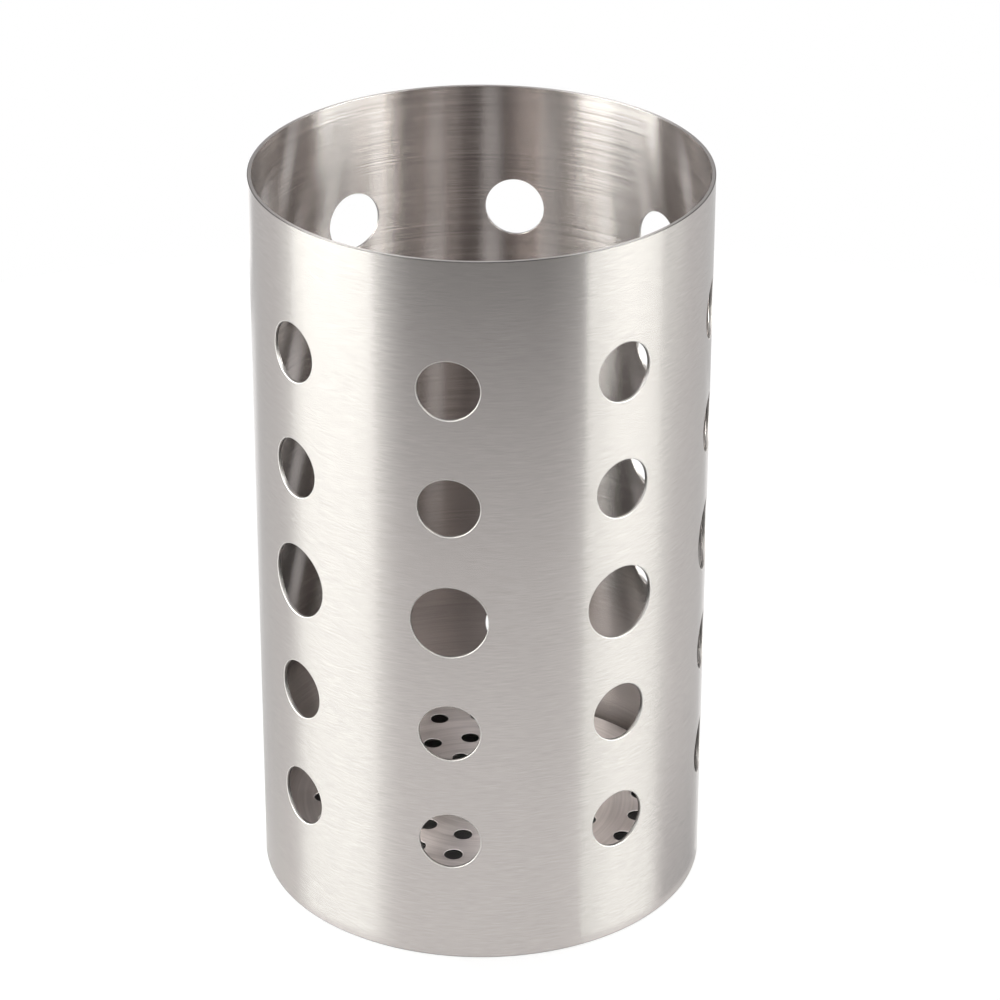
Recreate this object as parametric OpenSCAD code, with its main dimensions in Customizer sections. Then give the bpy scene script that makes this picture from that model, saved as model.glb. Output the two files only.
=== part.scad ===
// Perforated steel utensil holder.
// A punched sheet rolled into a tube, with a drawn and pierced base pan set upside down inside it.
// Millimetres, +Z up. The origin is the centre of the circle that the wall stands on.
// The first column of holes faces -Y.

/* [Wall] */
// Outside diameter of the wall
wall_d = 119.5; // [90:0.5:160]
// Height of the wall
wall_h = 200; // [160:1:280]
// Thickness of the wall sheet
wall_t = 1; // [0.6:0.1:1.6]
// Burr taken off the top and bottom edges of the wall
edge_break = 0.2; // [0.05:0.05:0.25]

/* [Wall holes] */
// Number of columns of holes round the wall
column_count = 8; // [4:1:9]
// Extra turn between the two columns on either side of the welded seam
seam_turn = 1.6; // [0:0.1:6]
// How many columns come before the seam, counted from the front towards +X
seam_after = 6; // [1:1:8]
// Number of rows of holes, the middle one larger
row_count = 5; // [3:2:5]
// Diameter of the small holes
hole_d = 16; // [8:0.5:20]
// Diameter of the large holes in the middle row
large_hole_d = 20; // [8:0.5:24]
// Height of the lowest row's centres above the bottom edge
low_row_z = 35.6; // [30:0.1:40]
// Depth of the highest row's centres below the top edge
high_row_depth = 34.8; // [20:0.1:40]

/* [Base pan] */
// Height of the floor that the utensils stand on
floor_z = 13.7; // [11:0.1:17]
// Thickness of the base sheet
base_t = 0.6; // [0.4:0.1:1]
// Outside radius of the drawn corner between floor and skirt
corner_r = 7; // [3:0.1:9]
// Gap between the skirt and the wall, none where it is pressed in
skirt_fit = 0; // [0:0.05:0.3]
// Height of the skirt's lower edge above the bottom edge of the wall
skirt_lift = 1; // [0.5:0.1:2]
// Turn of the pan in the wall, from +X towards +Y
pan_turn = 24; // [0:1:60]

/* [Drain holes] */
// Diameter of a drain hole
drain_d = 5; // [2:0.1:7]
// Distance from one inner ring of drain holes to the next
ring_pitch = 10.5; // [9:0.1:16]
// Flat floor left between the outer ring's centres and the drawn corner
ring_margin = 8; // [5:0.1:12]

/* [Spot welds] */
// Number of spot welds round the skirt
weld_count = 6; // [3:1:12]
// Straight skirt left above and below the electrode mark that each spot weld leaves
weld_margin = 0.85; // [0.3:0.05:2]
// Depth of the electrode mark
weld_depth = 0.15; // [0.05:0.05:0.2]

/* [Hidden] */
$fn = 96;

steel = [0.72, 0.71, 0.69];
base_steel = [0.6, 0.59, 0.57];

wall_r = wall_d / 2;
bore_r = wall_r - wall_t;
row_pitch = (wall_h - low_row_z - high_row_depth) / (row_count - 1);
middle_row = (row_count - 1) / 2;

// The columns are punched at one pitch in the flat sheet, and share the turn that the seam leaves
column_turn = (360 - seam_turn) / column_count;

skirt_r = bore_r - skirt_fit;
flat_r = skirt_r - corner_r;
straight_h = floor_z - corner_r - skirt_lift;
weld_d = straight_h - 2 * weld_margin;
weld_z = skirt_lift + straight_h / 2;

// Rings of drain holes: the outer one keeps its margin, the inner ones keep their pitch,
// and the last step between them is never under nine tenths of that pitch.
outer_ring_r = flat_r - ring_margin;
inner_ring_count = floor(outer_ring_r / ring_pitch - 0.9);
ring_radii = concat([for (k = [1:inner_ring_count]) k * ring_pitch], [outer_ring_r]);

// How far a cutter runs past the face that it cuts
cut_over = 1;

// The rolled sheet in section, with the burr taken off all four edges
module wall_profile() {
    polygon([
        [bore_r, edge_break],
        [bore_r + edge_break, 0],
        [wall_r - edge_break, 0],
        [wall_r, edge_break],
        [wall_r, wall_h - edge_break],
        [wall_r - edge_break, wall_h],
        [bore_r + edge_break, wall_h],
        [bore_r, wall_h - edge_break]
    ]);
}

// One punched hole: a round cutter that points outwards from the axis at height z
module punch(d, z, turn) {
    rotate([0, 0, turn])
        translate([bore_r - wall_t - cut_over, 0, z])
            rotate([0, 90, 0])
                cylinder(d = d, h = 2 * wall_t + 2 * cut_over);
}

module wall() {
    color(steel)
        difference() {
            rotate_extrude() wall_profile();
            for (column = [0:column_count - 1], row = [0:row_count - 1])
                punch(
                    d = row == middle_row ? large_hole_d : hole_d,
                    z = low_row_z + row * row_pitch,
                    turn = -90 + column * column_turn + (column < seam_after ? 0 : seam_turn)
                );
        }
}

// Space under an upside-down pan whose faces all lie this far inside the base pan's outer ones
module pan_space(inset, bottom) {
    translate([0, bottom])
        square([flat_r, floor_z - inset - bottom]);
    translate([0, bottom])
        square([skirt_r - inset, floor_z - corner_r - bottom]);
    translate([flat_r, floor_z - corner_r])
        intersection() {
            circle(r = corner_r - inset);
            square(corner_r);
        }
}

// The drawn sheet in section: flat floor, rounded corner and skirt, all one thickness
module pan_profile() {
    difference() {
        pan_space(inset = 0, bottom = skirt_lift);
        pan_space(inset = base_t, bottom = skirt_lift - cut_over);
    }
}

// One drain hole, pierced straight through the floor
module drain(r, turn) {
    rotate([0, 0, turn])
        translate([r, 0, floor_z - base_t - cut_over])
            cylinder(d = drain_d, h = base_t + 2 * cut_over, $fn = 32);
}

// One electrode mark on the inner face of the skirt
module weld_mark(turn) {
    rotate([0, 0, turn])
        translate([skirt_r - base_t + weld_depth, 0, weld_z])
            rotate([0, -90, 0])
                cylinder(d = weld_d, h = weld_depth + cut_over, $fn = 32);
}

module base_pan() {
    color(base_steel)
        rotate([0, 0, pan_turn])
            difference() {
                rotate_extrude() pan_profile();
                drain(r = 0, turn = 0);
                for (ring = [1:len(ring_radii)], hole = [1:6 * ring])
                    drain(r = ring_radii[ring - 1], turn = hole * 360 / (6 * ring));
                for (weld = [1:weld_count])
                    weld_mark(turn = weld * 360 / weld_count);
            }
}

wall();
base_pan();
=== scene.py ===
"""Perforated steel utensil holder: the finished surfaces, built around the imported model."""

import math

import bpy
import numpy as np
from bpy.props import FloatProperty, FloatVectorProperty, IntProperty, PointerProperty
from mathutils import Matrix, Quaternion, Vector


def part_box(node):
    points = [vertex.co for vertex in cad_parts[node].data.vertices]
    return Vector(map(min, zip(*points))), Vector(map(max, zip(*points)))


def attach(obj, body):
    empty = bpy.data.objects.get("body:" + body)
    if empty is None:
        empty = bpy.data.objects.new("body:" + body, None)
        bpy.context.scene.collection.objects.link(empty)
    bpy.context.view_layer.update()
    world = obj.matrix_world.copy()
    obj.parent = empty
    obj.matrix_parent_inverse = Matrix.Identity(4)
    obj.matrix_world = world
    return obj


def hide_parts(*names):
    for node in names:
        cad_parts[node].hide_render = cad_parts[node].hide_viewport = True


bl_info = {
    "name": "Perforated Utensil Holder",
    "version": (1, 0, 0),
    "blender": (4, 5, 0),
    "location": "3D View > Sidebar > Holder",
    "description": "A rolled and punched steel wall with a drawn base pan, on a plain studio table",
    "category": "Add Mesh",
}

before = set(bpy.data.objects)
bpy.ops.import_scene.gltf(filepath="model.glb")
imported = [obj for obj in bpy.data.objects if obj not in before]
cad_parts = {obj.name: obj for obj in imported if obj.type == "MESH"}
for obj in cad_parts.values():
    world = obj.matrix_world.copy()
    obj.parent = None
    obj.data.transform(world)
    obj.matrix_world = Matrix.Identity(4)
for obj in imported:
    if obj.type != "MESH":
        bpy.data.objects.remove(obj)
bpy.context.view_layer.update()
WALL_LOW, WALL_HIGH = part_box("wall")
PAN_LOW, PAN_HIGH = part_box("base_pan")
MM = 0.001


class WallSizes(bpy.types.PropertyGroup):
    """Sizes of the rolled wall and of the holes punched in it."""

    diameter: FloatProperty(
        name="Diameter", description="Outside diameter of the wall",
        default=WALL_HIGH.x - WALL_LOW.x, unit="LENGTH")
    height: FloatProperty(
        name="Height", description="Height of the wall",
        default=WALL_HIGH.z - WALL_LOW.z, unit="LENGTH")
    sheet: FloatProperty(
        name="Sheet", description="Thickness of the wall sheet", default=1 * MM, unit="LENGTH")
    columns: IntProperty(
        name="Columns", description="Columns of holes round the wall", default=8)
    seam_after: IntProperty(
        name="Seam after", description="Columns before the welded seam, from the front towards +X",
        default=6)
    seam_turn: FloatProperty(
        name="Seam turn", description="Extra turn between the columns beside the seam",
        default=math.radians(1.6), subtype="ANGLE")
    rows: IntProperty(name="Rows", description="Rows of holes, the middle one larger", default=5)
    hole: FloatProperty(
        name="Hole", description="Diameter of the small holes", default=16 * MM, unit="LENGTH")
    large_hole: FloatProperty(
        name="Large hole", description="Diameter of the holes in the middle row",
        default=20 * MM, unit="LENGTH")
    low_row: FloatProperty(
        name="Lowest row", description="Height of the lowest row's centres",
        default=35.6 * MM, unit="LENGTH")
    high_row_depth: FloatProperty(
        name="Highest row", description="Depth of the highest row's centres below the top edge",
        default=34.8 * MM, unit="LENGTH")
    edge_width: FloatProperty(
        name="Punched edge", description="Width of the skin that the punch drew in",
        default=0.28 * MM, unit="LENGTH")
    edge_depth: FloatProperty(
        name="Punched depth", description="How deep the punch drew the skin in at the hole",
        default=0.2 * MM, unit="LENGTH")
    burnish: FloatProperty(
        name="Burnished share", description="Share of a cut that is smooth, before it tears",
        default=0.6, subtype="FACTOR")
    burr: FloatProperty(
        name="Burr side", description="Radius left on the deburred edge inside",
        default=0.12 * MM, unit="LENGTH")
    rim_round: FloatProperty(
        name="Rim outer edge", description="Radius on the outer edges of the two rims",
        default=0.2 * MM, unit="LENGTH")
    rim_break: FloatProperty(
        name="Rim inner edge", description="Radius on the inner edges of the two rims",
        default=0.12 * MM, unit="LENGTH")


class PanSizes(bpy.types.PropertyGroup):
    """Sizes of the drawn base pan, its drain holes and its spot welds."""

    floor: FloatProperty(
        name="Floor", description="Height of the floor that the utensils stand on",
        default=PAN_HIGH.z, unit="LENGTH")
    skirt_lift: FloatProperty(
        name="Skirt lift", description="Height of the skirt's lower edge",
        default=PAN_LOW.z, unit="LENGTH")
    radius: FloatProperty(
        name="Radius", description="Outside radius of the skirt", default=PAN_HIGH.x, unit="LENGTH")
    sheet: FloatProperty(
        name="Sheet", description="Thickness of the base sheet", default=0.6 * MM, unit="LENGTH")
    corner: FloatProperty(
        name="Corner", description="Outside radius of the drawn corner", default=7 * MM,
        unit="LENGTH")
    turn: FloatProperty(
        name="Turn", description="Turn of the pan, from +X towards +Y",
        default=math.radians(24), subtype="ANGLE")
    drain: FloatProperty(
        name="Drain hole", description="Diameter of a drain hole", default=5 * MM, unit="LENGTH")
    ring_pitch: FloatProperty(
        name="Ring pitch", description="Distance from one inner ring of drain holes to the next",
        default=10.5 * MM, unit="LENGTH")
    ring_margin: FloatProperty(
        name="Ring margin", description="Flat floor outside the outer ring's centres",
        default=8 * MM, unit="LENGTH")
    edge_width: FloatProperty(
        name="Pierced edge", description="Width of the floor that the punch drew in",
        default=0.25 * MM, unit="LENGTH")
    edge_depth: FloatProperty(
        name="Pierced depth", description="How deep the punch drew the floor in at the hole",
        default=0.1 * MM, unit="LENGTH")
    burnish: FloatProperty(
        name="Burnished share", description="Share of a cut that is smooth, before it tears",
        default=0.6, subtype="FACTOR")
    burr: FloatProperty(
        name="Burr side", description="Radius left on the deburred edge below",
        default=0.08 * MM, unit="LENGTH")
    welds: IntProperty(name="Spot welds", description="Spot welds round the skirt", default=6)
    weld_mark: FloatProperty(
        name="Weld mark", description="Diameter of an electrode mark", default=4 * MM,
        unit="LENGTH")
    weld_depth: FloatProperty(
        name="Weld depth", description="Depth of an electrode mark", default=0.15 * MM,
        unit="LENGTH")
    clearance: FloatProperty(
        name="Clearance", description="Gap drawn between the skirt and the wall",
        default=0.03 * MM, unit="LENGTH")


class SteelFinish(bpy.types.PropertyGroup):
    """Colours of the steel, finish by finish."""

    outside: FloatVectorProperty(
        name="Outside", description="Reflected colour of the fine outer finish",
        default=(0.497, 0.465, 0.448), subtype="COLOR")
    inside: FloatVectorProperty(
        name="Inside", description="Reflected colour of the coarser inner finish",
        default=(0.57, 0.53, 0.512), subtype="COLOR")
    base: FloatVectorProperty(
        name="Base", description="Reflected colour of the spun base pan",
        default=(0.575, 0.53, 0.518), subtype="COLOR")
    # Painted highlight: the drain holes' drawn edges are steel coloured brighter than the floor, so
    # each hole shows a light lip.
    pierced: FloatVectorProperty(
        name="Pierced edges", description="Reflected colour of the edges of the drain holes",
        default=(0.74, 0.7, 0.69), subtype="COLOR")
    drawn: FloatVectorProperty(
        name="Drawn edges", description="Reflected colour of the edges that a punch drew in",
        default=(0.45, 0.428, 0.414), subtype="COLOR")
    rim: FloatVectorProperty(
        name="Rims", description="Reflected colour of the flat of the rims",
        default=(0.34, 0.318, 0.311), subtype="COLOR")
    # Painted shade: the rounded outer edge of the rims is darkened so that its highlight stays dim.
    rim_edge_shade: FloatVectorProperty(
        name="Sheared edges", description="Reflected colour of the rounded outer edge of the rims",
        default=(0.13, 0.123, 0.119), subtype="COLOR")
    cut: FloatVectorProperty(
        name="Smooth cuts", description="Reflected colour of the smooth part of a punched cut",
        default=(0.29, 0.275, 0.267), subtype="COLOR")
    torn: FloatVectorProperty(
        name="Torn cuts", description="Reflected colour of the torn part of a cut",
        default=(0.11, 0.104, 0.101), subtype="COLOR")


class StudioSizes(bpy.types.PropertyGroup):
    """The table, the light cards and the camera."""

    table_radius: FloatProperty(
        name="Table", description="Radius of the round table top", default=0.42, unit="LENGTH")
    table_glow: FloatProperty(
        name="Table glow", description="Light that the table top adds to its paint", default=0.6)
    paint_around: FloatProperty(
        name="Paint", description="Share of light that the paint gives back round the holder",
        default=0.45, subtype="FACTOR")
    # Painted shade: the table's paint is darker under the holder, where the holder shades it.
    painted_shade_under: FloatProperty(
        name="Paint under", description="Share of light that the paint gives back under the holder",
        default=0.27, subtype="FACTOR")
    card_radius: FloatProperty(
        name="Card distance", description="Distance of the light cards from the axis",
        default=1.8, unit="LENGTH")
    camera_place: FloatVectorProperty(
        name="Camera", description="Where the camera stands",
        default=(0.12945, -0.91662, 0.57698), subtype="XYZ", unit="LENGTH")
    camera_aim: FloatVectorProperty(
        name="Aim", description="The point at the middle of the picture",
        default=(0.00482, 0.00067, 0.10526), subtype="XYZ", unit="LENGTH")
    sensor: FloatProperty(
        name="Sensor", description="Width of the camera's sensor, in millimetres", default=36)
    lens: FloatProperty(
        name="Lens", description="Focal length of the lens, in millimetres", default=140.72)
    camera_roll: FloatProperty(
        name="Roll", description="Turn of the camera about its own view", default=0.002,
        subtype="ANGLE")


def grid_quads(rows, cols, start):
    """Quads of a rows x cols grid of points numbered row by row from start."""
    i, j = np.meshgrid(np.arange(rows - 1), np.arange(cols - 1), indexing="ij")
    a = start + i * cols + j
    return np.stack([a, a + 1, a + cols + 1, a + cols], axis=-1).reshape(-1, 4)


# Points that agree to this are one point.
SAME_PLACE = 1e-5 * MM


class Skin:
    """Collects surface patches and joins them where their borders meet."""

    def __init__(self):
        self.points, self.normals, self.quads, self.slots = [], [], [], []
        self.count = 0

    def add(self, points, normals, slots):
        """One grid of points (rows, cols, 3) with its outward normals, and a material slot
        for each strip between two rows. The quads are turned to agree with the normals."""
        rows, cols = points.shape[:2]
        quads = grid_quads(rows, cols, self.count)
        flat, flat_n = points.reshape(-1, 3), normals.reshape(-1, 3)
        corner = flat[quads - self.count]
        facing = np.cross(corner[:, 2] - corner[:, 0], corner[:, 3] - corner[:, 1])
        wanted = flat_n[quads - self.count].sum(axis=1)
        if (facing * wanted).sum() < 0:
            quads = quads[:, ::-1]
        self.points.append(flat)
        self.normals.append(flat_n)
        self.quads.append(quads)
        self.slots.append(np.repeat(np.asarray(slots), cols - 1))
        self.count += rows * cols

    def mesh(self, name, materials):
        """The joined mesh. Points that round to the same place become one, faces that close
        up are dropped, and the worked-out normals are kept for shading."""
        points, normals = np.concatenate(self.points), np.concatenate(self.normals)
        quads, slots = np.concatenate(self.quads), np.concatenate(self.slots)
        key = np.round(points / SAME_PLACE).astype(np.int64)
        _, first, place = np.unique(key, axis=0, return_index=True, return_inverse=True)
        place = place.ravel()
        joined = np.zeros((len(first), 3))
        np.add.at(joined, place, normals)
        joined /= np.linalg.norm(joined, axis=1, keepdims=True)
        quads = place[quads]
        whole = (np.diff(np.sort(quads, axis=1), axis=1) > 0).all(axis=1)
        quads, slots = quads[whole], slots[whole]
        mesh = bpy.data.meshes.new(name)
        mesh.from_pydata(points[first], [], quads.tolist(), shade_flat=False)
        for material in materials:
            mesh.materials.append(material)
        mesh.polygons.foreach_set("material_index", slots.astype(np.int32))
        mesh.update()
        mesh.normals_split_custom_set_from_vertices(joined)
        return mesh


def new_piece(name, mesh):
    """An object at the origin that carries the mesh."""
    piece = bpy.data.objects.new(name, mesh)
    bpy.context.scene.collection.objects.link(piece)
    return piece


# Digits that are kept of a point on a cell's square outline, so that its corners are exact.
OUTLINE_DIGITS = 12

# Material slots of a punched piece: its two skins, the edges that a punch drew in, the smooth
# and the torn part of a cut, and the flat of a rim and its rounded outer edge.
FRONT, REAR, DRAWN, SMOOTH, TORN, RIM, RIM_EDGE = range(7)

# How finely a punched sheet is drawn: points round a hole of the wall, steps from a hole to the
# outline of its cell on the wall and on the floor, and how they crowd towards the hole.
CELL_POINTS = 88
CELL_STEPS = 5
DRAIN_STEPS = 3
CROWDING = 1.6
# Points on a drawn-in edge and on a deburred one, on the rounded outer edge of a rim, and up
# the plain sheet between a rim and the cells.
DRAWN_POINTS = 7
BURR_POINTS = 4
ROUND_POINTS = 6
BAND_POINTS = 4


def hole_section(size, steps):
    """Section through the edge of a punched hole, from the outline of its cell on the front
    skin, over the drawn-in edge (a quarter of an ellipse), down the burnished and the torn
    part of the cut, round the deburred edge and back out on the rear skin. For each point:
    share of the way to the outline, offset from the hole's radius, depth below the front
    skin, and how far the normal points along the skin's normal and into the hole."""
    width, deep, burr, sheet = size.edge_width, size.edge_depth, size.burr, size.sheet
    share = np.linspace(1, 0, steps + 1) ** CROWDING
    skin = np.stack([share, 0 * share + width, 0 * share, 0 * share + 1, 0 * share], axis=1)
    turn = np.linspace(0, math.pi / 2, DRAWN_POINTS)[1:]
    length = np.hypot(width * np.cos(turn), deep * np.sin(turn))
    drawn = np.stack([0 * turn, width * (1 - np.sin(turn)), deep * (1 - np.cos(turn)),
                      width * np.cos(turn) / length, deep * np.sin(turn) / length], axis=1)
    tear = np.array([[0, 0, deep + size.burnish * (sheet - burr - deep), 0, 1]])
    turn = np.linspace(math.pi / 2, math.pi, BURR_POINTS)
    rear = np.stack([0 * turn, burr * (1 - np.sin(turn)), sheet - burr * (1 + np.cos(turn)),
                     np.cos(turn), np.sin(turn)], axis=1)
    share = share[::-1][1:]
    back = np.stack([share, 0 * share + burr, 0 * share + sheet, 0 * share - 1, 0 * share],
                    axis=1)
    section = np.concatenate([skin, drawn, tear, rear, back])
    slots = ([FRONT] * steps + [DRAWN] * len(drawn) + [SMOOTH, TORN]
             + [REAR] * (len(rear) - 1 + len(back)))
    return section, slots


def column_azimuths(size):
    """Azimuth of each column's centre from the front towards +X, and the half widths of its
    cell on either side. The columns share the turn that the seam leaves."""
    pitch = (2 * math.pi - size.seam_turn) / size.columns
    number = np.arange(size.columns)
    centre = number * pitch + np.where(number >= size.seam_after, size.seam_turn, 0)
    low = np.full(size.columns, pitch / 2)
    high = low.copy()
    high[size.seam_after - 1] += size.seam_turn / 2
    low[size.seam_after % size.columns] += size.seam_turn / 2
    return centre, low, high


def around(azimuth):
    """Unit vectors that point outwards at an azimuth from the front, and along the wall."""
    zero = 0 * azimuth
    out = np.stack([np.sin(azimuth), -np.cos(azimuth), zero], axis=-1)
    along = np.stack([np.cos(azimuth), np.sin(azimuth), zero], axis=-1)
    return out, along


def wall_cell(size, centre, low, high, z, hole, half_height):
    """One hole and the sheet round it. A point runs round the hole at angle t and along the
    section from the hole to the cell's square outline, and is then rolled onto the wall."""
    section, slots = hole_section(size, CELL_STEPS)
    share, offset, depth, on_skin, in_hole = (section[:, k, None] for k in range(5))
    t = np.linspace(0, 2 * math.pi, CELL_POINTS + 1)
    unit = np.stack([np.cos(t), np.sin(t)])
    square = np.round(unit / np.abs(unit).max(axis=0), OUTLINE_DIGITS)
    turn = np.where(square[0] > 0, square[0] * high, square[0] * low)
    radius = size.diameter / 2 - depth
    reach = hole / 2 + offset
    lateral = (1 - share) * reach * unit[0] + share * radius * np.sin(turn)
    height = (1 - share) * reach * unit[1] + share * square[1] * half_height
    azimuth = centre + np.arcsin(lateral / radius)
    out, _ = around(azimuth)
    points = out * radius[..., None]
    points[..., 2] = z + height
    _, along = around(np.full_like(azimuth, centre))
    inwards = -(unit[0][None, :, None] * along)
    inwards[..., 2] = -unit[1][None, :]
    normals = out * on_skin[..., None] + inwards * in_hole[..., None]
    return points, normals, slots


def wall_band(size, azimuths, z_skin, z_rim):
    """The plain sheet between a row of cells and a rim, carried round the wall: up the outer
    skin, over the rounded edges of the rim and back along the inner skin."""
    up = math.copysign(1, z_rim - z_skin)
    outer, inner = size.diameter / 2, size.diameter / 2 - size.sheet
    b, c = size.rim_round, size.rim_break
    z_out = np.linspace(z_skin, z_rim - up * b, BAND_POINTS)
    z_in = np.linspace(z_rim - up * c, z_skin, BAND_POINTS)
    turn = np.linspace(0, math.pi / 2, ROUND_POINTS)
    turn_in = np.linspace(0, math.pi / 2, BURR_POINTS)
    radius = np.concatenate([0 * z_out + outer, outer - b * (1 - np.cos(turn[1:])),
                             inner + c * (1 - np.sin(turn_in)), 0 * z_in[1:] + inner])
    height = np.concatenate([z_out, z_rim - up * b * (1 - np.sin(turn[1:])),
                             z_rim - up * c * (1 - np.cos(turn_in)), z_in[1:]])
    n_out = np.concatenate([0 * z_out + 1, np.cos(turn[1:]), -np.sin(turn_in), 0 * z_in[1:] - 1])
    n_up = up * np.concatenate([0 * z_out, np.sin(turn[1:]), np.cos(turn_in), 0 * z_in[1:]])
    out, _ = around(azimuths)
    points = out[None] * radius[:, None, None]
    points[..., 2] = height[:, None]
    normals = out[None] * n_out[:, None, None]
    normals[..., 2] = n_up[:, None]
    slots = ([FRONT] * (BAND_POINTS - 1) + [RIM_EDGE] * (ROUND_POINTS - 1)
             + [RIM] * BURR_POINTS + [REAR] * (BAND_POINTS - 1))
    return points, normals, slots


def sector_outline(inner, outer, middle, half, n_in, n_out, n_side):
    """Closed outline of a ring sector, anticlockwise from its inner right corner: along one
    side, back along the outer arc, in along the other side and along the inner arc."""
    side = np.linspace(inner, outer, n_side + 1)
    arc_out = np.linspace(middle - half, middle + half, n_out + 1)
    arc_in = np.linspace(middle + half, middle - half, n_in + 1)
    radius = np.concatenate([side[:-1], 0 * arc_out[:-1] + outer, side[::-1][:-1],
                             0 * arc_in + inner])
    angle = np.concatenate([0 * side[:-1] + middle - half, arc_out[:-1],
                            0 * side[:-1] + middle + half, arc_in])
    return np.stack([radius * np.cos(angle), radius * np.sin(angle)])


def drain_cell(size, outline, centre):
    """One drain hole and the floor round it. The points round the hole look along the lines
    from its centre to the points of the outline."""
    section, slots = hole_section(size, DRAIN_STEPS)
    share, offset, depth, on_skin, in_hole = (section[:, k, None] for k in range(5))
    from_centre = outline - centre[:, None]
    unit = from_centre / np.linalg.norm(from_centre, axis=0)
    reach = size.drain / 2 + offset
    x = centre[0] + (1 - share) * reach * unit[0] + share * from_centre[0]
    y = centre[1] + (1 - share) * reach * unit[1] + share * from_centre[1]
    z = size.floor - depth + 0 * x
    normals = np.stack([-unit[0] * in_hole, -unit[1] * in_hole, on_skin + 0 * x], axis=-1)
    return np.stack([x, y, z], axis=-1), normals, slots


# Share of an electrode mark's radius over which its edge slopes.
DENT_SLOPE = 0.25


def weld_dent(size, angle, height):
    """Depth of the electrode marks at points of the skirt, given by angle and height: a flat
    round dent with a sloping edge about each weld."""
    pitch = 2 * math.pi / size.welds
    middle = (size.skirt_lift + size.floor - size.corner) / 2
    turn = (angle - size.turn + pitch / 2) % pitch - pitch / 2
    away = np.hypot(turn * size.radius, height - middle) / (size.weld_mark / 2)
    return size.weld_depth * np.clip((1 - away) / DENT_SLOPE, 0, 1)


# Points over the drawn corner, down the skirt and round the skirt's lower edge.
CORNER_POINTS, SKIRT_POINTS, EDGE_POINTS = 13, 9, 7


def pan_side(size, angles):
    """The drawn corner and the skirt: the section is carried round the axis, out over the
    corner, down the skirt, round its lower edge and back up and in along the underside."""
    outer = size.radius - size.clearance
    corner_x, corner_z = size.radius - size.corner, size.floor - size.corner
    inner_r = size.corner - size.sheet
    b = size.sheet / 2
    turn = np.linspace(0, math.pi / 2, CORNER_POINTS)
    down = np.linspace(corner_z, size.skirt_lift + b, SKIRT_POINTS)
    edge = np.linspace(0, math.pi, EDGE_POINTS)
    squeeze = (size.corner - size.clearance) / size.corner
    radius = np.concatenate([corner_x + size.corner * squeeze * np.sin(turn), 0 * down[1:] + outer,
                             outer - b + b * np.cos(edge[1:]), 0 * down[1:] + outer - 2 * b,
                             corner_x + (outer - 2 * b - corner_x) * np.sin(turn[::-1][1:])])
    height = np.concatenate([corner_z + size.corner * np.cos(turn), down[1:],
                             size.skirt_lift + b - b * np.sin(edge[1:]), down[::-1][1:],
                             corner_z + inner_r * np.cos(turn[::-1][1:])])
    n_out = np.concatenate([np.sin(turn), 0 * down[1:] + 1, np.cos(edge[1:]), 0 * down[1:] - 1,
                            -np.sin(turn[::-1][1:])])
    n_up = np.concatenate([np.cos(turn), 0 * down[1:], -np.sin(edge[1:]), 0 * down[1:],
                           -np.cos(turn[::-1][1:])])
    marked = np.zeros(len(radius))
    first = len(turn) + len(down) - 1 + len(edge) - 1
    marked[first - 1 : first + len(down) - 1] = 1
    radius = radius[:, None] + marked[:, None] * weld_dent(size, angles, height[:, None])
    points = np.stack([radius * np.cos(angles), radius * np.sin(angles),
                       height[:, None] + 0 * radius], axis=-1)
    normals = np.stack([n_out[:, None] * np.cos(angles), n_out[:, None] * np.sin(angles),
                        n_up[:, None] + 0 * radius], axis=-1)
    slots = [FRONT] * (first - 1) + [REAR] * (len(radius) - first)
    return points, normals, slots


def node(tree, kind, inputs=None, **settings):
    """A shader node with its settings and inputs. An input is a value or another output."""
    made = tree.nodes.new(kind)
    for name, value in settings.items():
        setattr(made, name, value)
    for name, value in (inputs or {}).items():
        if isinstance(value, bpy.types.NodeSocket):
            tree.links.new(value, made.inputs[name])
        else:
            made.inputs[name].default_value = value
    return made


def new_material(name):
    """A material with an empty node tree, and that tree."""
    material = bpy.data.materials.new(name)
    material.use_nodes = True
    material.node_tree.nodes.clear()
    return material, material.node_tree


def maths(tree, operation, *values):
    """One sum on one or two values."""
    return node(tree, "ShaderNodeMath", dict(enumerate(values)), operation=operation).outputs[0]


def vector_maths(tree, operation, *vectors, output="Vector"):
    """One sum on one or two vectors."""
    return node(tree, "ShaderNodeVectorMath", dict(enumerate(vectors)),
                operation=operation).outputs[output]


def scaled(tree, vector, scale):
    """A vector times a value."""
    return node(tree, "ShaderNodeVectorMath", {0: vector, "Scale": scale},
                operation="SCALE").outputs[0]


def ranged(tree, value, low, high, first=0.0, last=1.0, **settings):
    """A value carried over from the range low to high to the range first to last."""
    return node(tree, "ShaderNodeMapRange",
                {"Value": value, "From Min": low, "From Max": high, "To Min": first,
                 "To Max": last}, **settings).outputs[0]


# Nearly all of a noise lies between the first and the last of these values.
NOISE_LOW, NOISE_MIDDLE, NOISE_HIGH = 0.3, 0.5, 0.7


def varied(tree, value, middle, share, **settings):
    """A noise laid about a middle value, from a share of it below to as much above."""
    return ranged(tree, value, NOISE_LOW, NOISE_HIGH, middle * (1 - share), middle * (1 + share),
                  **settings)


def noise(tree, place, scale, detail, roughness=0.5):
    """Noise at a place, in waves to the metre, or to one unit of a drawn-out place."""
    return node(tree, "ShaderNodeTexNoise",
                {"Vector": place, "Scale": scale, "Detail": detail,
                 "Roughness": roughness}).outputs["Fac"]


# Waves to the metre of the slow drift of the lines and of the clouds.
WAVER_SCALE = 90
CLOUD_SCALE = 28


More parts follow.
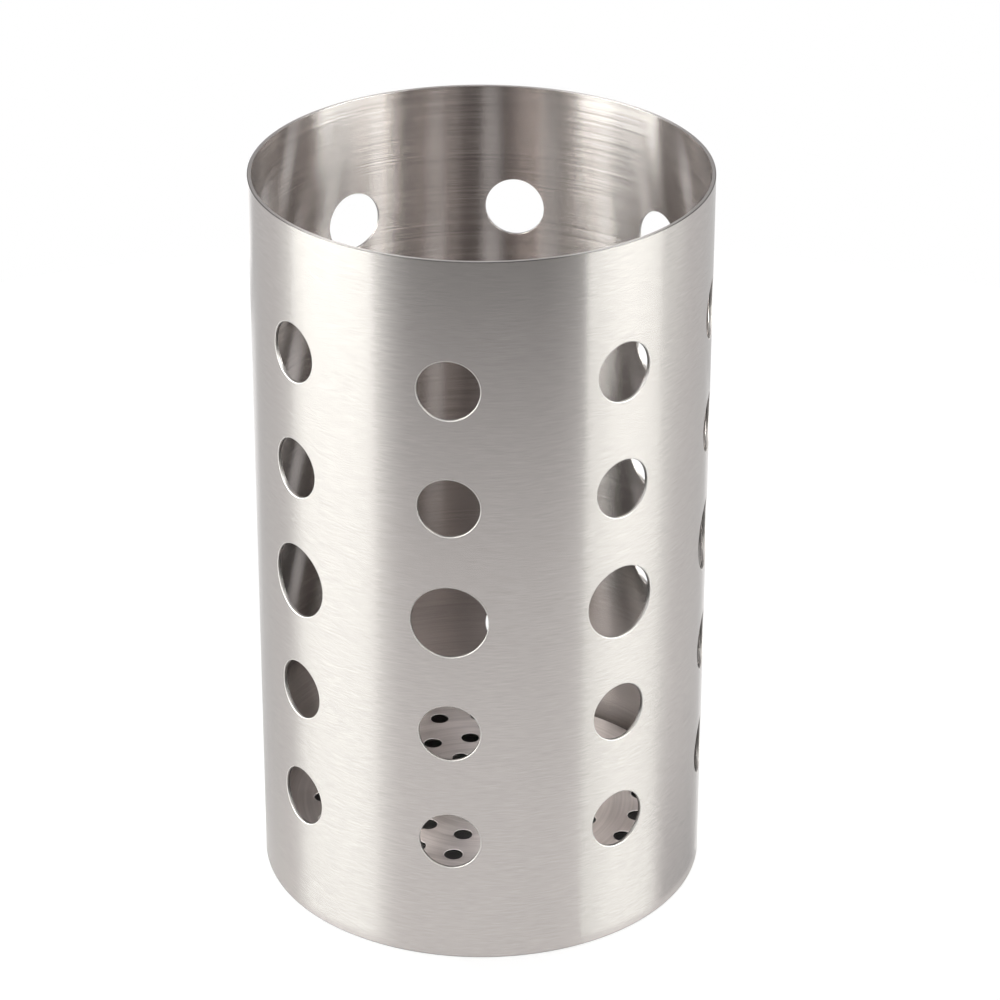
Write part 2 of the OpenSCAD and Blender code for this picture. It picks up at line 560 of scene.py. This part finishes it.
def brush_marks():
    """Node group: marks of an abrasive belt that ran round the axis. Position is unrolled
    into the direction round the axis and the way along the section, then noise is drawn out
    along the belt. Lines is the fine grain, Streaks the coarser one, Clouds the slow drift.
    Normal is the surface's normal, tilted across the belt by each line, and a little along
    it where the lines fray the edges of a reflection."""
    name = "brush_marks"
    if name in bpy.data.node_groups:
        return bpy.data.node_groups[name]
    tree = bpy.data.node_groups.new(name, "ShaderNodeTree")

    def socket(label, kind="NodeSocketVector", in_out="INPUT"):
        """A named input or output of the group."""
        return tree.interface.new_socket(name=label, in_out=in_out, socket_type=kind)

    socket("Position")
    socket("Normal")
    for label, default in (("Line Pitch", 0.3 * MM), ("Line Length", 12 * MM),
                           ("Waver", 0.3 * MM), ("Line Tilt", 0.1), ("Fray", 0.0)):
        socket(label, "NodeSocketFloat").default_value = default
    for output in ("Lines", "Streaks", "Clouds"):
        socket(output, "NodeSocketFloat", in_out="OUTPUT")
    socket("Normal", in_out="OUTPUT")
    entry = node(tree, "NodeGroupInput").outputs

    split = node(tree, "ShaderNodeSeparateXYZ", {0: entry["Position"]}).outputs
    flat = node(tree, "ShaderNodeCombineXYZ", {"X": split["X"], "Y": split["Y"]}).outputs[0]
    radius = vector_maths(tree, "LENGTH", flat, output="Value")
    out = vector_maths(tree, "NORMALIZE", flat)
    ring = scaled(tree, out, maths(tree, "DIVIDE", WALL_HIGH.x, entry["Line Length"]))
    slow = noise(tree, entry["Position"], WAVER_SCALE, detail=2)
    section = maths(tree, "SUBTRACT", radius, split["Z"])
    section = maths(tree, "ADD", section, maths(tree, "MULTIPLY", slow, entry["Waver"]))
    section = maths(tree, "DIVIDE", section, entry["Line Pitch"])

    def drawn_noise(stretch, squeeze):
        """Noise stretched along the belt by one factor and across it by another."""
        ends = node(tree, "ShaderNodeSeparateXYZ", {0: scaled(tree, ring, 1 / stretch)}).outputs
        place = node(tree, "ShaderNodeCombineXYZ",
                     {"X": ends["X"], "Y": ends["Y"],
                      "Z": maths(tree, "DIVIDE", section, squeeze)}).outputs[0]
        return noise(tree, place, scale=1, detail=2, roughness=0.6)

    lines, streaks = drawn_noise(1, 1), drawn_noise(stretch=1.6, squeeze=3)
    clouds = noise(tree, entry["Position"], CLOUD_SCALE, detail=3)
    along = vector_maths(tree, "CROSS_PRODUCT", (0, 0, 1), out)
    across = vector_maths(tree, "CROSS_PRODUCT", along, entry["Normal"])
    slant = maths(tree, "SUBTRACT", lines, NOISE_MIDDLE)
    normal = entry["Normal"]
    for way, share in ((across, entry["Line Tilt"]), (along, entry["Fray"])):
        turned = scaled(tree, way, maths(tree, "MULTIPLY", slant, share))
        normal = vector_maths(tree, "ADD", normal, turned)
    normal = vector_maths(tree, "NORMALIZE", normal)
    node(tree, "NodeGroupOutput", {"Lines": lines, "Streaks": streaks, "Clouds": clouds,
                                   "Normal": normal})
    return tree


# The ground weld: how much darker it is, and half its width to where it starts and ends to fade.
SEAM_SHADE = 0.1
SEAM_CORE, SEAM_EDGE = 0.5 * MM, 1.3 * MM


def seam_level(tree, place, seam):
    """The share of the colour left over the ground weld, a line up the wall at the azimuth of
    the seam, and the whole elsewhere."""
    out, along = around(np.array(seam))
    aside, ahead = (vector_maths(tree, "DOT_PRODUCT", place, tuple(axis), output="Value")
                    for axis in (along, out))
    weld = ranged(tree, maths(tree, "ABSOLUTE", aside), SEAM_CORE, SEAM_EDGE, SEAM_SHADE, 0)
    weld = maths(tree, "MULTIPLY", weld, maths(tree, "GREATER_THAN", ahead, 0.0))
    return maths(tree, "SUBTRACT", 1.0, weld)


# Depths below the top edge between which the colour darkens more and more, a painted shade.
PAINTED_SHADE_START, PAINTED_SHADE_END = 45 * MM, 165 * MM
# Turn that lays the long way of a highlight across the belt's lines.
QUARTER_TURN = 0.25


def steel(name, color, finish, seam=None):
    """A brushed steel material. Its brush marks come from the shared group with this
    finish's own pitch and length, and tint the colour, the roughness and the surface. Seam is
    the azimuth of the ground weld, for a skin that shows it."""
    if name in bpy.data.materials:
        return bpy.data.materials[name]
    material, tree = new_material(name)
    place = node(tree, "ShaderNodeTexCoord").outputs["Object"]
    facing = node(tree, "ShaderNodeNewGeometry").outputs["Normal"]
    marks = node(tree, "ShaderNodeGroup",
                 {"Position": place, "Normal": facing, "Line Pitch": finish["pitch"],
                  "Line Length": finish["length"], "Waver": finish["waver"],
                  "Line Tilt": finish["tilt"], "Fray": finish["fray"]},
                 node_tree=brush_marks()).outputs
    grain = node(tree, "ShaderNodeMix", {"Factor": finish["coarse"], "A": marks["Lines"],
                                         "B": marks["Streaks"]}).outputs["Result"]
    height = node(tree, "ShaderNodeSeparateXYZ", {0: place}).outputs["Z"]
    levels = [varied(tree, grain, 1, finish["tone"], clamp=False),
              varied(tree, marks["Clouds"], 1, finish["drift"]),
              # Painted shade: the colour darkens towards the bottom, down to the finish's deep
              # share.
              ranged(tree, height, WALL_HIGH.z - PAINTED_SHADE_END, WALL_HIGH.z - PAINTED_SHADE_START,
                     finish["deep"], 1.0, interpolation_type="SMOOTHSTEP")]
    if seam is not None:
        levels.append(seam_level(tree, place, seam))
    tinted = tuple(color)
    for level in levels:
        tinted = scaled(tree, tinted, level)
    rough = varied(tree, grain, finish["rough"], finish["spread"], clamp=False)
    shader = node(tree, "ShaderNodeBsdfPrincipled",
                  {"Base Color": tinted, "Metallic": 1.0, "Roughness": rough,
                   "Specular Tint": (finish["edge"], finish["edge"], finish["edge"], 1.0),
                   "Anisotropic": finish["aniso"], "Anisotropic Rotation": QUARTER_TURN,
                   "Normal": marks["Normal"]})
    if finish["aniso"]:
        tangent = node(tree, "ShaderNodeTangent", direction_type="RADIAL", axis="Z").outputs[0]
        tree.links.new(tangent, shader.inputs["Tangent"])
    node(tree, "ShaderNodeOutputMaterial", {"Surface": shader.outputs[0]})
    return material


# The finishes. Pitch, length and waver: spacing of the belt's lines, their length and how far
# they drift. Tone, drift, spread: shares by which lines and clouds change the colour, and lines
# the roughness, rough. Coarse: share of the coarser streaks. Tilt and fray: turn of the surface
# across and along a line. Aniso: how far a highlight is drawn out across the lines. Edge: tint
# of a grazing reflection. Deep: share of the colour left low down, a painted shade that
# darkens the inner wall towards the bottom.
PLAIN = dict(deep=1.0, fray=0.0, aniso=0.0, edge=0.74)
OUTSIDE = dict(PLAIN, pitch=0.18 * MM, length=4 * MM, waver=0.01 * MM, tone=0.078, coarse=0.1,
               drift=0.012, rough=0.20, spread=0.01, tilt=0.001, aniso=1.0)
INSIDE = dict(pitch=0.2 * MM, length=45 * MM, waver=0.01 * MM, tone=0.17, coarse=0.0,
              drift=0.015, deep=0.68, rough=0.225, spread=0.1, tilt=0.02, fray=0.01, aniso=1.0,
              edge=0.95)
SPUN = dict(PLAIN, pitch=0.8 * MM, length=45 * MM, waver=0.6 * MM, tone=0.16, coarse=0.4,
            drift=0.25, rough=0.42, spread=0.12, tilt=0.08, fray=0.03, aniso=0.8)
DRAWN_DULL = dict(PLAIN, pitch=0.3 * MM, length=4 * MM, waver=0.3 * MM, tone=0.08, coarse=0.5,
                  drift=0.05, rough=0.45, spread=0.1, tilt=0.1)
CUT = dict(PLAIN, pitch=0.1 * MM, length=3 * MM, waver=0.2 * MM, tone=0.1, coarse=0.5,
           drift=0.03, rough=0.42, spread=0.1, tilt=0.05)
GROUND = dict(CUT, rough=0.45, aniso=0.9)
DRAWN_EDGE = dict(CUT, rough=0.55)


def punched_steel(front, rear, drawn, finish):
    """The materials of a punched piece, in the order of the slots."""
    return [front, rear, drawn,
            steel("smooth_cut", finish.cut, CUT), steel("torn_cut", finish.torn, CUT),
            # The rims' rounded outer edge has a darkened colour, a painted shade that dims its
            # highlight.
            steel("rim_band", finish.rim, GROUND), steel("rim_edge_painted_shade", finish.rim_edge_shade, GROUND)]


def cell_top(centre, low, high):
    """Azimuths of the points on the upper or lower side of a cell's outline."""
    t = np.linspace(3, 1, CELL_POINTS // 4 + 1) * math.pi / 4
    across = np.round(np.cos(t) / np.sin(t), OUTLINE_DIGITS)
    return centre + np.where(across > 0, across * high, across * low)


class HOLDER_OT_wall(bpy.types.Operator):
    """Rolled wall: the punched sheet with its holes, rims and two brushed skins"""

    bl_idname = "holder.wall"
    bl_label = "Rolled Wall"

    def execute(self, context):
        size, finish = context.scene.holder_wall, context.scene.holder_steel
        row_pitch = (size.height - size.low_row - size.high_row_depth) / (size.rows - 1)
        column_pitch = size.diameter / 2 * (2 * math.pi - size.seam_turn) / size.columns
        if size.large_hole + 2 * size.edge_width >= min(row_pitch, column_pitch):
            raise ValueError("The large holes don't fit between their neighbours")
        centre, low, high = column_azimuths(size)
        skin = Skin()
        for column in range(size.columns):
            cell = centre[column], low[column], high[column]
            for row in range(size.rows):
                hole = size.large_hole if row == size.rows // 2 else size.hole
                skin.add(*wall_cell(size, *cell, size.low_row + row * row_pitch, hole,
                                    row_pitch / 2))
        cells_end = size.low_row + (size.rows - 0.5) * row_pitch
        for cell in zip(centre, low, high):
            azimuths = cell_top(*cell)
            skin.add(*wall_band(size, azimuths, size.low_row - row_pitch / 2, 0.0))
            skin.add(*wall_band(size, azimuths, cells_end, size.height))
        after = size.seam_after
        seam = (centre[after - 1] + centre[after % size.columns]) / 2
        piece = new_piece("rolled_wall", skin.mesh("rolled_wall", punched_steel(
            steel("brushed_outside", finish.outside, OUTSIDE, seam),
            steel("brushed_inside", finish.inside, INSIDE),
            steel("drawn_edge", finish.drawn, DRAWN_EDGE), finish)))
        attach(piece, "root")
        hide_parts("wall")
        return {"FINISHED"}


# Points on the inner arc, outer arc and sides of a floor cell, for each ring from the middle.
# Neighbouring rings have the same number of points on the circle where they meet.
FLOOR_CELLS = ((4, 12, 8), (6, 18, 8), (12, 8, 8), (6, 8, 8))
# Drain holes that each ring has more than the one inside it.
RING_STEP = 6


class HOLDER_OT_base_pan(bpy.types.Operator):
    """Base pan: the spun floor with its drain holes, the drawn corner and the welded skirt"""

    bl_idname = "holder.base_pan"
    bl_label = "Base Pan"

    def execute(self, context):
        size, finish = context.scene.holder_pan, context.scene.holder_steel
        flat = size.radius - size.corner
        outer_ring = flat - size.ring_margin
        rings = [size.ring_pitch * (k + 1) for k in range(len(FLOOR_CELLS) - 1)] + [outer_ring]
        if size.drain + 2 * size.edge_width >= min(np.diff(rings)):
            raise ValueError("The drain holes of two rings run into each other")
        borders = [rings[0] / 2] + [(a + b) / 2 for a, b in zip(rings, rings[1:])] + [flat]
        skin = Skin()
        n_centre = RING_STEP * FLOOR_CELLS[0][0]
        around_centre = size.turn - math.pi / RING_STEP + np.linspace(0, 2 * math.pi, n_centre + 1)
        outline = borders[0] * np.stack([np.cos(around_centre), np.sin(around_centre)])
        skin.add(*drain_cell(size, outline, np.zeros(2)))
        for k, (ring, cell) in enumerate(zip(rings, FLOOR_CELLS)):
            holes = RING_STEP * (k + 1)
            for j in range(holes):
                middle = size.turn + 2 * math.pi * j / holes
                outline = sector_outline(borders[k], borders[k + 1], middle, math.pi / holes,
                                         *cell)
                place = ring * np.array([math.cos(middle), math.sin(middle)])
                skin.add(*drain_cell(size, outline, place))
        holes, cell = RING_STEP * len(rings), FLOOR_CELLS[-1]
        start = size.turn - math.pi / holes
        angles = start + np.linspace(0, 2 * math.pi, holes * cell[1] + 1)
        skin.add(*pan_side(size, angles))
        piece = new_piece("spun_base_pan", skin.mesh("spun_base_pan", punched_steel(
            steel("spun_floor", finish.base, SPUN),
            steel("dull_underside", finish.base, DRAWN_DULL),
            # The drain holes' edges have a brighter colour, a painted highlight round each hole.
            steel("pierced_edge", finish.pierced, CUT), finish)))
        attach(piece, "root")
        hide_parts("base_pan")
        return {"FINISHED"}


def glow(name, color, strength):
    """Material of a light card: plain light, scaled by the card's own level and faded out
    by its feather value."""
    material, tree = new_material(name)
    level = node(tree, "ShaderNodeAttribute", attribute_name="level").outputs["Fac"]
    light = node(tree, "ShaderNodeEmission",
                 {"Color": (*color, 1), "Strength": maths(tree, "MULTIPLY", level, strength)})
    mask = node(tree, "ShaderNodeAttribute", attribute_name="feather").outputs["Fac"]
    clear = node(tree, "ShaderNodeBsdfTransparent")
    mixed = node(tree, "ShaderNodeMixShader", {0: mask, 1: clear.outputs[0], 2: light.outputs[0]})
    node(tree, "ShaderNodeOutputMaterial", {"Surface": mixed.outputs[0]})
    return material


def soft_step(value, low, high):
    """0 below low, 1 above high and an even S between them."""
    x = np.clip((value - low) / (high - low), 0, 1)
    return x * x * (3 - 2 * x)


def light_card(name, points, mask, level, strength, color):
    """A card that lights and shows in the steel but not to the camera, given by a grid of
    points, how solid it is at each of them and the share of its strength that it has there."""
    rows, cols = points.shape[:2]
    mesh = bpy.data.meshes.new(name)
    mesh.from_pydata(points.reshape(-1, 3), [], grid_quads(rows, cols, 0).tolist(),
                     shade_flat=False)
    for attribute, values in (("feather", mask), ("level", level + 0 * mask)):
        mesh.attributes.new(attribute, "FLOAT", "POINT").data.foreach_set(
            "value", values.astype(np.float32).ravel())
    mesh.materials.append(glow(name, color, strength))
    card = new_piece(name, mesh)
    card.visible_camera = False
    card.visible_diffuse = False
    card.visible_shadow = False


# Light of the plain cards and of the softboxes.
WHITE, BOX = (1.0, 1.0, 1.0), (0.972, 1.0, 0.977)
# Points round and up a card of the dome, and round and away from the wall on a table card.
DOME_GRID = 97, 65
TABLE_GRID = 97, 33
# Where a table card starts, from the wall, and how high it lies over the table.
CARD_START, CARD_LIFT = 3 * MM, 0.4 * MM


def dome_card(name, radius, azimuth, elevation, soft, strength, color=WHITE,
              ends=((1, 1), (1, 1))):
    """A card bent round the holder: part of a sphere about its middle, between two azimuths
    and two elevations in degrees, faded over soft = (left, right, low, high) degrees. Ends
    gives, for each end in azimuth, its share of the strength there and the degrees over which
    that evens out."""
    aa, ee = np.meshgrid(np.linspace(*azimuth, DOME_GRID[0]),
                         np.linspace(*elevation, DOME_GRID[1]))
    left, right, low, high = soft
    mask = (soft_step(aa, azimuth[0], azimuth[0] + left)
            * (1 - soft_step(aa, azimuth[1] - right, azimuth[1]))
            * soft_step(ee, elevation[0], elevation[0] + low)
            * (1 - soft_step(ee, elevation[1] - high, elevation[1])))
    (first, first_span), (last, last_span) = ends
    level = ((first + (1 - first) * soft_step(aa, azimuth[0], azimuth[0] + first_span))
             * (1 + (last - 1) * soft_step(aa, azimuth[1] - last_span, azimuth[1])))
    out, _ = around(np.radians(aa))
    points = radius * out * np.cos(np.radians(ee))[..., None]
    points[..., 2] = radius * np.sin(np.radians(ee)) + (WALL_LOW.z + WALL_HIGH.z) / 2
    light_card(name, points, mask, level, strength, color)


def table_card(name, wall_radius, reach, foot, aim, soft, strength, color=WHITE,
               rise=(1, 1), fade=0):
    """A card lying on the table. It starts at the wall's foot between two azimuths and fans
    out to reach, its sides aimed along two other azimuths, all in degrees, and is faded over
    soft = (first, last) degrees of the aim. Rise is the share of its strength at the first
    side and the degrees over which it grows to the whole. Fade is 1 for a card that fades out
    towards its reach, -1 towards the wall, 0 for neither."""
    s = np.linspace(0, 1, TABLE_GRID[0])[None, :]
    d = np.linspace(CARD_START, reach, TABLE_GRID[1])[:, None]
    start, _ = around(np.radians(foot[0] + (foot[1] - foot[0]) * s))
    go, _ = around(np.radians(aim[0] + (aim[1] - aim[0]) * s))
    points = wall_radius * start + d[..., None] * go
    points[..., 2] = CARD_LIFT
    width = aim[1] - aim[0]
    mask = soft_step(s, 0, soft[0] / width) * (1 - soft_step(s, 1 - soft[1] / width, 1))
    far = soft_step(d, 0, reach)
    mask = mask * (1 + 0 * d if fade == 0 else 1 - far if fade > 0 else far)
    level = rise[0] + (1 - rise[0]) * soft_step(s, 0, rise[1] / width)
    light_card(name, points, mask, level, strength, color)


# Points out and round on the table top, the pinhole in its middle, and how far it lies below
# the holder.
TABLE_RINGS, TABLE_SPOKES = 9, 129
TABLE_PINHOLE, TABLE_DROP = 0.5 * MM, 0.05 * MM
# The stretch below the wall's sheet over which the table changes from under to around, the
# share that the steel sees more at its foot and less far off, and how far off that is.
UNDER_WALL = 1 * MM
NEAR_GLOW, NEAR_END = 0.05, 0.36


class HOLDER_OT_stage(bpy.types.Operator):
    """Stage: the table, the backdrop, the light cards and the camera"""

    bl_idname = "holder.stage"
    bl_label = "Studio"

    def execute(self, context):
        size = context.scene.holder_studio
        self.backdrop(context.scene)
        self.table(size)
        self.cards(size)
        self.camera(context.scene, size)
        context.scene.view_settings.view_transform = "Standard"
        return {"FINISHED"}

    def backdrop(self, scene):
        """A plain white world, the same to the camera, to the steel and as light."""
        world = bpy.data.worlds.new("backdrop")
        world.use_nodes = True
        world.node_tree.nodes["Background"].inputs["Color"].default_value = (1, 1, 1, 1)
        world.node_tree.nodes["Background"].inputs["Strength"].default_value = 1.0
        scene.world = world

    def table(self, size):
        """A round white table top, faced upwards."""
        angle = np.linspace(0, 2 * math.pi, TABLE_SPOKES)
        radius = np.linspace(TABLE_PINHOLE, size.table_radius, TABLE_RINGS)[:, None]
        points = np.stack([radius * np.cos(angle), radius * np.sin(angle),
                           0 * radius * angle - TABLE_DROP], axis=-1)
        mesh = bpy.data.meshes.new("table_top")
        mesh.from_pydata(points.reshape(-1, 3), [],
                         grid_quads(TABLE_RINGS, TABLE_SPOKES, 0)[:, ::-1].tolist(),
                         shade_flat=False)
        mesh.materials.append(self.white_table(size))
        new_piece("table_top", mesh)

    def white_table(self, size):
        """White paint that glows a little, so that it is white where it isn't in shade, and
        the holder's shadow stays on it. Under the holder the paint is darker and doesn't glow, a
        painted shade. A camera below sees through it."""
        material, tree = new_material("white_table")
        path = node(tree, "ShaderNodeLightPath").outputs
        seen = maths(tree, "MAXIMUM", path["Is Camera Ray"], path["Is Glossy Ray"])
        seen = maths(tree, "MAXIMUM", seen, path["Is Transmission Ray"])
        place = node(tree, "ShaderNodeTexCoord").outputs["Object"]
        away = vector_maths(tree, "LENGTH", place, output="Value")
        foot = WALL_HIGH.x
        outside = ranged(tree, away, foot - UNDER_WALL, foot)
        near = ranged(tree, away, foot, NEAR_END, NEAR_GLOW, -NEAR_GLOW)
        near = maths(tree, "MULTIPLY", near, path["Is Glossy Ray"])
        lift = maths(tree, "ADD", near, size.table_glow)
        for factor in (seen, outside):
            lift = maths(tree, "MULTIPLY", lift, factor)
        light = node(tree, "ShaderNodeEmission", {"Color": (1, 1, 1, 1), "Strength": lift})
        # Painted shade: the paint is darker under the holder than round it.
        shade = ranged(tree, away, foot - UNDER_WALL, foot, size.painted_shade_under, size.paint_around)
        paint = node(tree, "ShaderNodeBsdfDiffuse", {"Color": shade})
        both = node(tree, "ShaderNodeAddShader", {0: light.outputs[0], 1: paint.outputs[0]})
        below = node(tree, "ShaderNodeNewGeometry").outputs["Backfacing"]
        below = maths(tree, "MULTIPLY", below, path["Is Camera Ray"])
        clear = node(tree, "ShaderNodeBsdfTransparent")
        shown = node(tree, "ShaderNodeMixShader", {0: below, 1: both.outputs[0],
                                                   2: clear.outputs[0]})
        node(tree, "ShaderNodeOutputMaterial", {"Surface": shown.outputs[0]})
        return material

    def cards(self, size):
        """The light cards. In the dome: a grey flag in front, a tall softbox on either side
        with a low glow below it, a strip behind and a light above. On the table: lit strips on
        either side and behind, and a shaded one on the right."""
        # Each layer of cards stands a little nearer than the one behind it.
        flags, boxes, box_tops, glows, above = (
            size.card_radius * share for share in (1, 0.98, 0.975, 0.97, 0.96))
        wall = bpy.context.scene.holder_wall.diameter / 2
        reach = size.table_radius - wall
        dome_card("front_flag", flags, azimuth=(-50, 59.8), elevation=(-2, 75),
                  soft=(16, 0.3, 4, 10), strength=0.36, ends=((0.75, 52), (0.05, 40)))
        dome_card("front_low_flag", flags, azimuth=(-50, 59.8), elevation=(-65, 2),
                  soft=(16, 0.3, 6, 4), strength=0.1, ends=((3.0, 50), (3.2, 26)))
        dome_card("left_softbox", boxes, azimuth=(-91.3, -41.6), elevation=(0, 57),
                  soft=(1, 3, 4, 8), strength=10.8, color=BOX, ends=((1.65, 46), (1, 1)))
        dome_card("left_softbox_top", box_tops, azimuth=(-74, -41.6), elevation=(51, 77),
                  soft=(4, 3, 8, 8), strength=7.8, color=BOX)
        dome_card("left_low_glow", glows, azimuth=(-111.5, -23), elevation=(-45, 2),
                  soft=(18, 36, 8, 4), strength=1.5, color=BOX)
        dome_card("right_softbox", boxes, azimuth=(57, 101.2), elevation=(0, 62),
                  soft=(0.5, 0.8, 4, 8), strength=12.9, color=BOX, ends=((0.47, 30), (1, 1)))
        dome_card("right_low_glow", glows, azimuth=(59.4, 130), elevation=(-45, 2),
                  soft=(0.3, 17, 8, 4), strength=1.32, color=BOX, ends=((0.85, 22), (1, 1)))
        dome_card("rear_strip", boxes, azimuth=(-172, -143), elevation=(-45, 2),
                  soft=(4, 9, 8, 4), strength=2.1)
        dome_card("top_light", above, azimuth=(0, 360), elevation=(79, 89.9),
                  soft=(0.1, 0.1, 2, 0.1), strength=6.0)
        table_card("left_table_light", wall, reach, foot=(-49.5, -12), aim=(-111.5, -31),
                   soft=(18, 28), strength=1.5, color=BOX)
        table_card("right_table_light", wall, reach, foot=(34.0, 61), aim=(59.8, 125),
                   soft=(0.4, 17), strength=1.46, color=BOX, rise=(0.86, 22))
        table_card("rear_table_light", wall, reach, foot=(-82, -68), aim=(-172, -143),
                   soft=(8, 10), strength=1.7, fade=-1)
        table_card("right_table_shade", wall, 0.11, foot=(58, 86), aim=(110, 162),
                   soft=(12, 8), strength=0.82, fade=1)
        table_card("right_edge_light", wall, 0.3, foot=(87, 90), aim=(166, 178),
                   soft=(2, 1), strength=1.6)

    def camera(self, scene, size):
        """The camera, at the place and with the lens that give the photographed view."""
        data = bpy.data.cameras.new("camera")
        data.sensor_width = size.sensor
        data.lens = size.lens
        camera = bpy.data.objects.new("camera", data)
        scene.collection.objects.link(camera)
        camera.location = size.camera_place
        look = Vector(size.camera_aim) - Vector(size.camera_place)
        camera.rotation_mode = "QUATERNION"
        roll = Quaternion((0, 0, 1), size.camera_roll)
        camera.rotation_quaternion = look.to_track_quat("-Z", "Y") @ roll
        scene.camera = camera


class HOLDER_PT_sidebar(bpy.types.Panel):
    """Lists the pieces of the holder and the stage."""

    bl_idname = "HOLDER_PT_sidebar"
    bl_label = "Utensil Holder"
    bl_space_type = "VIEW_3D"
    bl_region_type = "UI"
    bl_category = "Holder"

    def draw(self, context):
        for operator in OPERATORS:
            self.layout.operator(operator.bl_idname)
        for name in GROUPS:
            group = getattr(context.scene, name)
            box = self.layout.box()
            for field in group.__annotations__:
                box.prop(group, field)


GROUPS = {"holder_wall": WallSizes, "holder_pan": PanSizes, "holder_steel": SteelFinish,
          "holder_studio": StudioSizes}
OPERATORS = (HOLDER_OT_stage, HOLDER_OT_wall, HOLDER_OT_base_pan)


def register():
    """Makes the sizes, the operators and the panel known to Blender."""
    for kind in (*GROUPS.values(), *OPERATORS, HOLDER_PT_sidebar):
        bpy.utils.register_class(kind)
    for name, kind in GROUPS.items():
        setattr(bpy.types.Scene, name, PointerProperty(type=kind))


def unregister():
    """Takes them out again."""
    for name in GROUPS:
        delattr(bpy.types.Scene, name)
    for kind in (HOLDER_PT_sidebar, *reversed(OPERATORS), *reversed(GROUPS.values())):
        bpy.utils.unregister_class(kind)


def main():
    """Builds the stage and each piece."""
    register()
    bpy.ops.holder.stage()
    bpy.ops.holder.wall()
    bpy.ops.holder.base_pan()


if __name__ == "__main__":
    main()
